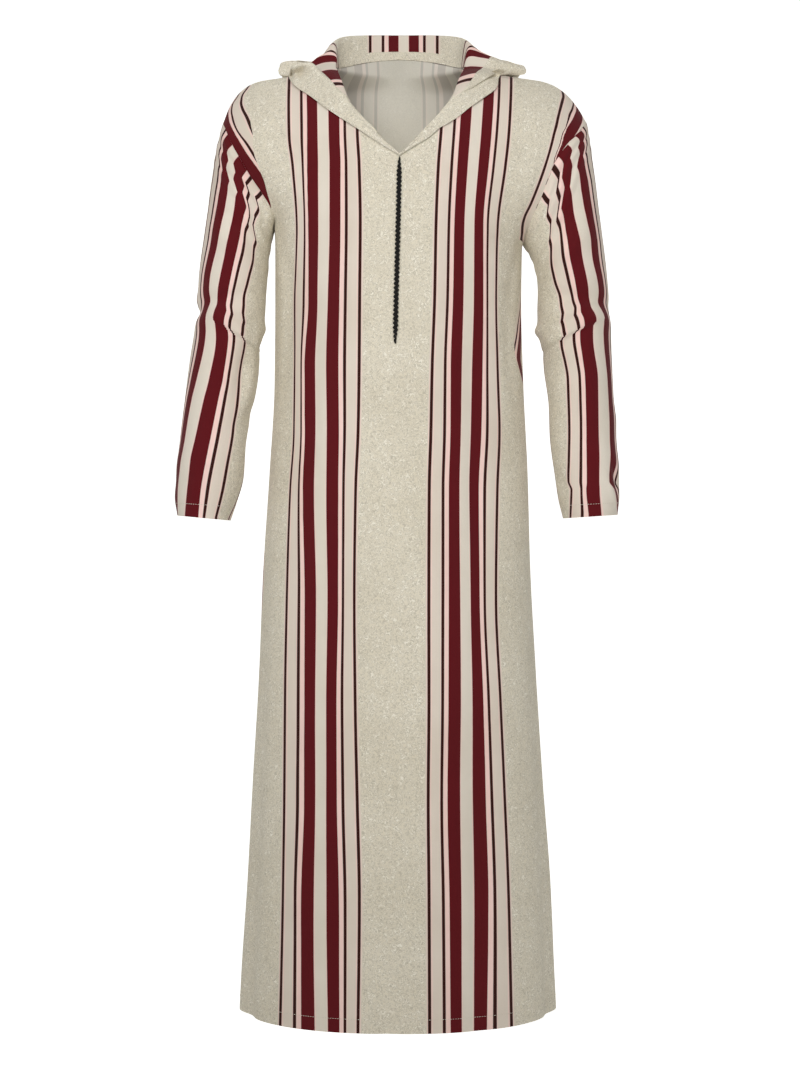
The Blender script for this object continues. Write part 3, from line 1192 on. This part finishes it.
def collarHalf(side):
    prints, stops, rows = zip(*collarRows(side))
    points, places, samples = loft(rows, hood["rowSteps"][:len(rows) - 1], hood["profileSteps"])
    distance, stop = (np.interp(places, np.arange(len(rows)), values)[:, None] for values in (prints, stops))
    whole = np.zeros(points.shape[:2])
    # stripes up the middle of the back, and over each shoulder as far as the turned edge
    inSide = (places > 2.5)[:, None] & (whole == 0)
    byMiddle = np.abs(points[..., 0] - hood["groupMiddle"]) / hood["groupWidth"]
    sideBare = np.minimum(stop - np.abs(points[..., 0]), (4.0 - samples) * 0.01)
    middleBare = np.where(samples < 3, (samples - hood["plainBelow"]) * 0.03, 1.0)
    apart = np.where(inSide, np.abs(distance) + whole, byMiddle)
    return points, apart, np.where(inSide, sideBare, middleBare)


def leafSheet(side):
    rows = []
    for innerX, innerZ, lift, outerX, outerZ, outerLift in hood["leaf"][side]:
        rows.append([onChest(side, innerX + (outerX - innerX) * share, innerZ + (outerZ - innerZ) * share,
                             outerLift + (lift - outerLift) * high)
                     for share, high in hood["leafProfile"][side]])
    return loft(rows, [hood["leafRowSteps"]] * (len(rows) - 1), hood["leafProfileSteps"])[0]


def dressHood():
    left, right = collarHalf("left"), collarHalf("right")
    collar, apart, bare = (np.concatenate([a[::-1], b[1:]]) for a, b in zip(left, right))
    # sheets: points, their print, and a place whose normal faces forward
    sheets = [(smoothGrid(collar, hood["smoothing"]), apart, bare, (len(left[0]) - 1, 10))]
    for side in sideSign:
        leaf = leafSheet(side)
        plain = np.full(leaf.shape[:2], 1.0)
        sheets.append((smoothGrid(leaf, 1), plain, plain, (60, 30)))
    parts, start = [], 0
    for points, apart, bare, place in sheets:
        normals = gridNormals(points)
        quads = quadFaces(numbered(points.shape, start))
        if normals[place][1] > 0:
            normals, quads = -normals, quads[:, ::-1]
        down, across = (running(np.linalg.norm(np.diff(points, axis=axis), axis=2), axis) for axis in (0, 1))
        outer = points + normals * cloth["thickness"] / 2
        parts.append((outer.reshape(-1, 3), normals.reshape(-1, 3), quads,
                      *(np.stack(pair, axis=-1).reshape(-1, 2) for pair in ((apart, bare), (down, across)))))
        start += apart.size
    outer, normals, faces, prints, cuts = (np.concatenate(blocks) for blocks in zip(*parts))
    piece = clothMesh("cloth_hood", outer, normals, faces, {"print": prints, "cut": cuts},
                      [outsideCloth, outsideCloth])
    return settle(piece, "hood")


hoodPiece = dressHood()
print("hood made")

# braid down the slit

braid = {
    "top": -0.1445, "bottom": -0.4020, "width": 0.0040, "height": 0.0024, "knots": 84,
    "taper": 0.020, "tip": 0.12, "shift": 0.0006, "ends": 0.004, "rings": 130, "bandLift": 0.42,
    "cordRadius": 0.0009, "cordSwing": 0.0012, "cordLift": 0.85, "knotShift": 0.0003, "knotSwing": 0.001,
    # one knot: points across, out and up, with their half width and half height
    "knot": metres((
        (-1.4, 0, 2.2, 1, 1.2), (0.8, -0.4, 1.5, 1.3, 1.5), (1.7, -0.6, 0.27, 1.4, 1.6),
        (0.8, -0.4, -1.5, 1.3, 1.5), (-1.4, 0, -2.2, 1, 1.2),
    )),
}


def dressBraid():
    line = panels["front"]["points"][:, panels["front"]["points"].shape[1] // 2]
    line = line[np.argsort(line[:, 2])]
    top, length = braid["top"], braid["top"] - braid["bottom"]
    verts, faces = [], []

    def onSlit(z, aside, lift):
        # place on the slit, moved aside and out by a share of the braid's height
        x, y = (np.interp(z, line[:, 2], line[:, i]) for i in (0, 1))
        return np.array([x + aside, y - braid["height"] * lift, z])

    def slim(z):
        return float(np.clip(min(top - z, z - braid["bottom"]) / braid["taper"], braid["tip"], 1.0))

    def tube(path, halfWide, halfHigh, sides):
        # rounded strip along a path of points
        start, last = len(verts), len(path) - 1
        turns = [2 * math.pi * s / sides for s in range(sides)]
        for k, point in enumerate(path):
            ahead = unit(path[min(k + 1, last)] - path[max(k - 1, 0)])
            across = unit(np.cross(ahead, [0.0, -1.0, 0.0]))
            out = unit(np.cross(across, ahead))
            verts.extend(point + across * halfWide[k] * math.cos(turn) + out * halfHigh[k] * math.sin(turn)
                         for turn in turns)
        for ring in range(start, start + last * sides, sides):
            for s in range(sides):
                a, b = ring + s, ring + (s + 1) % sides
                faces.append((a, b, b + sides, a + sides))
        faces.append(tuple(start + s for s in reversed(range(sides))))
        faces.append(tuple(start + last * sides + s for s in range(sides)))

    zs = np.linspace(top, braid["bottom"], braid["rings"])
    tube([onSlit(z, braid["shift"], braid["bandLift"]) for z in zs],
         [braid["width"] / 2 * slim(z) for z in zs],
         [braid["height"] / 2 * (0.5 + 0.5 * slim(z)) for z in zs], 10)
    # two fine cords laid over each other down the middle
    for strand in (-1, 1):
        path = []
        for z in zs:
            wave = strand * math.sin((z - top) / length * braid["knots"] / 2 * math.pi)
            path.append(onSlit(z, braid["shift"] + wave * braid["cordSwing"] * slim(z), braid["cordLift"]))
        cord = [braid["cordRadius"]] * len(zs)
        tube(path, cord, cord, 6)
    across, out, up, wide, high = np.transpose(braid["knot"])
    for knot in range(braid["knots"]):
        z = top - braid["ends"] - (length - 2 * braid["ends"]) * knot / (braid["knots"] - 1)
        size, side = slim(z), -1 if knot % 2 else 1
        centre = onSlit(z, (braid["knotShift"] + side * braid["knotSwing"]) * size, 0.5)
        lean = np.where(np.arange(len(up)) == len(up) // 2, side, 1)
        tube(centre + np.stack([side * across * size, out, up * lean], axis=-1), wide, high, 7)
    return settle(addMesh("braid_down_slit", verts, faces, braidSilk), "slit_braid")


braidPiece = dressBraid()
print("braid made")

# topstitching

stitches = {
    "pitch": 0.0036, "length": 0.0026, "width": 0.0007, "height": 0.0005,
    "hemUp": 0.017, "sunk": 0.0002,
    # along one stitch: share of half its length, shares of its width and height
    "profile": ((-1.0, 0.25, 0.1), (-0.6, 0.9, 0.85), (0.0, 1.0, 1.0), (0.6, 0.9, 0.85), (1.0, 0.25, 0.1)),
}


def stitchRow(line, outs):
    # short raised stitches along a line of points, each bent to the cloth
    steps = running(np.linalg.norm(np.diff(line, axis=0), axis=1))
    verts, faces = [], []

    def along(at, values):
        return np.array([np.interp(at, steps, values[:, i]) for i in range(3)])

    for k in range(int(steps[-1] / stitches["pitch"])):
        start = len(verts)
        for share, wide, high in stitches["profile"]:
            at = (k + 0.5) * stitches["pitch"] + share * (stitches["length"] / 2)
            point, out = along(at, line), unit(along(at, outs))
            ahead = along(at + 1e-3, line) - along(at - 1e-3, line)
            across = unit(np.cross(ahead, out)) * stitches["width"] / 2 * wide
            lift, sink = out * stitches["height"] * high, out * stitches["sunk"]
            verts += [point - across - sink, point - across * 0.7 + lift,
                      point + across * 0.7 + lift, point + across - sink]
        end = len(verts) - 4
        for ring in range(start, end, 4):
            for s in range(4):
                a, b = ring + s, ring + (s + 1) % 4
                faces.append((a, b, b + 4, a + 4))
        faces += [(start + 3, start + 2, start + 1, start), (end, end + 1, end + 2, end + 3)]
    return verts, faces


def stitchPiece(name, line, outs):
    return settle(addMesh(name, *stitchRow(line, outs), sewingThread), None)


def hemRow(face):
    points, normals = panels[face]["points"], panels[face]["normals"]
    row = int(np.argmin(np.abs(points[:80, 3, 2] - points[0, 3, 2] - stitches["hemUp"])))
    return points[row], normals[row]


hemStitches = {face: stitchPiece("stitches_hem_" + face, *hemRow(face)) for face in faceSign}
cuffStitches = {side: stitchPiece("stitches_cuff_" + side, *line) for side, line in cuffLines.items()}
print("stitches made")

# cloth facts

# floor and light

stage = {
    "floorZ": -1.52, "halfWidth": 6.0, "front": -6.0, "wallY": 5.2, "wallTop": 6.0, "bend": 1.6,
    "worldStrength": 0.26,
    "lamps": (
        # name, place, aim, size, watts, spread in degrees
        ("key", (-0.9, -2.6, 0.7), (0.0, 0.0, -0.36), 1.8, 6.6, 56.0),
        ("fill", (1.3, -2.7, 0.3), (0.0, 0.0, -0.40), 2.2, 4.9, 70.0),
        ("top", (0.0, -0.5, 2.4), (0.0, 0.0, -0.3), 2.2, 5.0, 180.0),
    ),
}


def makeFloor():
    # floor that curves up into a plain back wall
    bend = stage["bend"]
    profile = [(stage["front"], stage["floorZ"])]
    for turn in (math.pi / 2 * i / 12 for i in range(13)):
        profile.append((stage["wallY"] - bend + bend * math.sin(turn),
                        stage["floorZ"] + bend * (1 - math.cos(turn))))
    profile.append((stage["wallY"], stage["wallTop"]))
    verts = [(sign * stage["halfWidth"], y, z) for y, z in profile for sign in (-1, 1)]
    faces = [(i, i + 1, i + 3, i + 2) for i in range(0, len(verts) - 2, 2)]
    floor = addMesh("floor", verts, faces, floorFinish("pale floor"))


def makeLight():
    world = bpy.data.worlds.new("room")
    world.use_nodes = True
    background = world.node_tree.nodes["Background"].inputs
    background["Color"].default_value = (1.0, 1.0, 0.99, 1.0)
    background["Strength"].default_value = stage["worldStrength"]
    bpy.context.scene.world = world
    for name, place, aim, size, watts, spread in stage["lamps"]:
        lamp = bpy.data.lights.new(name, "AREA")
        lamp.shape = "DISK"
        lamp.size, lamp.energy, lamp.spread = size, watts, math.radians(spread)
        holder = addObject(name, lamp)
        holder.location = place
        holder.rotation_euler = (Vector(aim) - Vector(place)).to_track_quat("-Z", "Y").to_euler()


makeFloor()
makeLight()
bpy.context.scene.view_settings.view_transform = "Standard"
print("floor and light made")
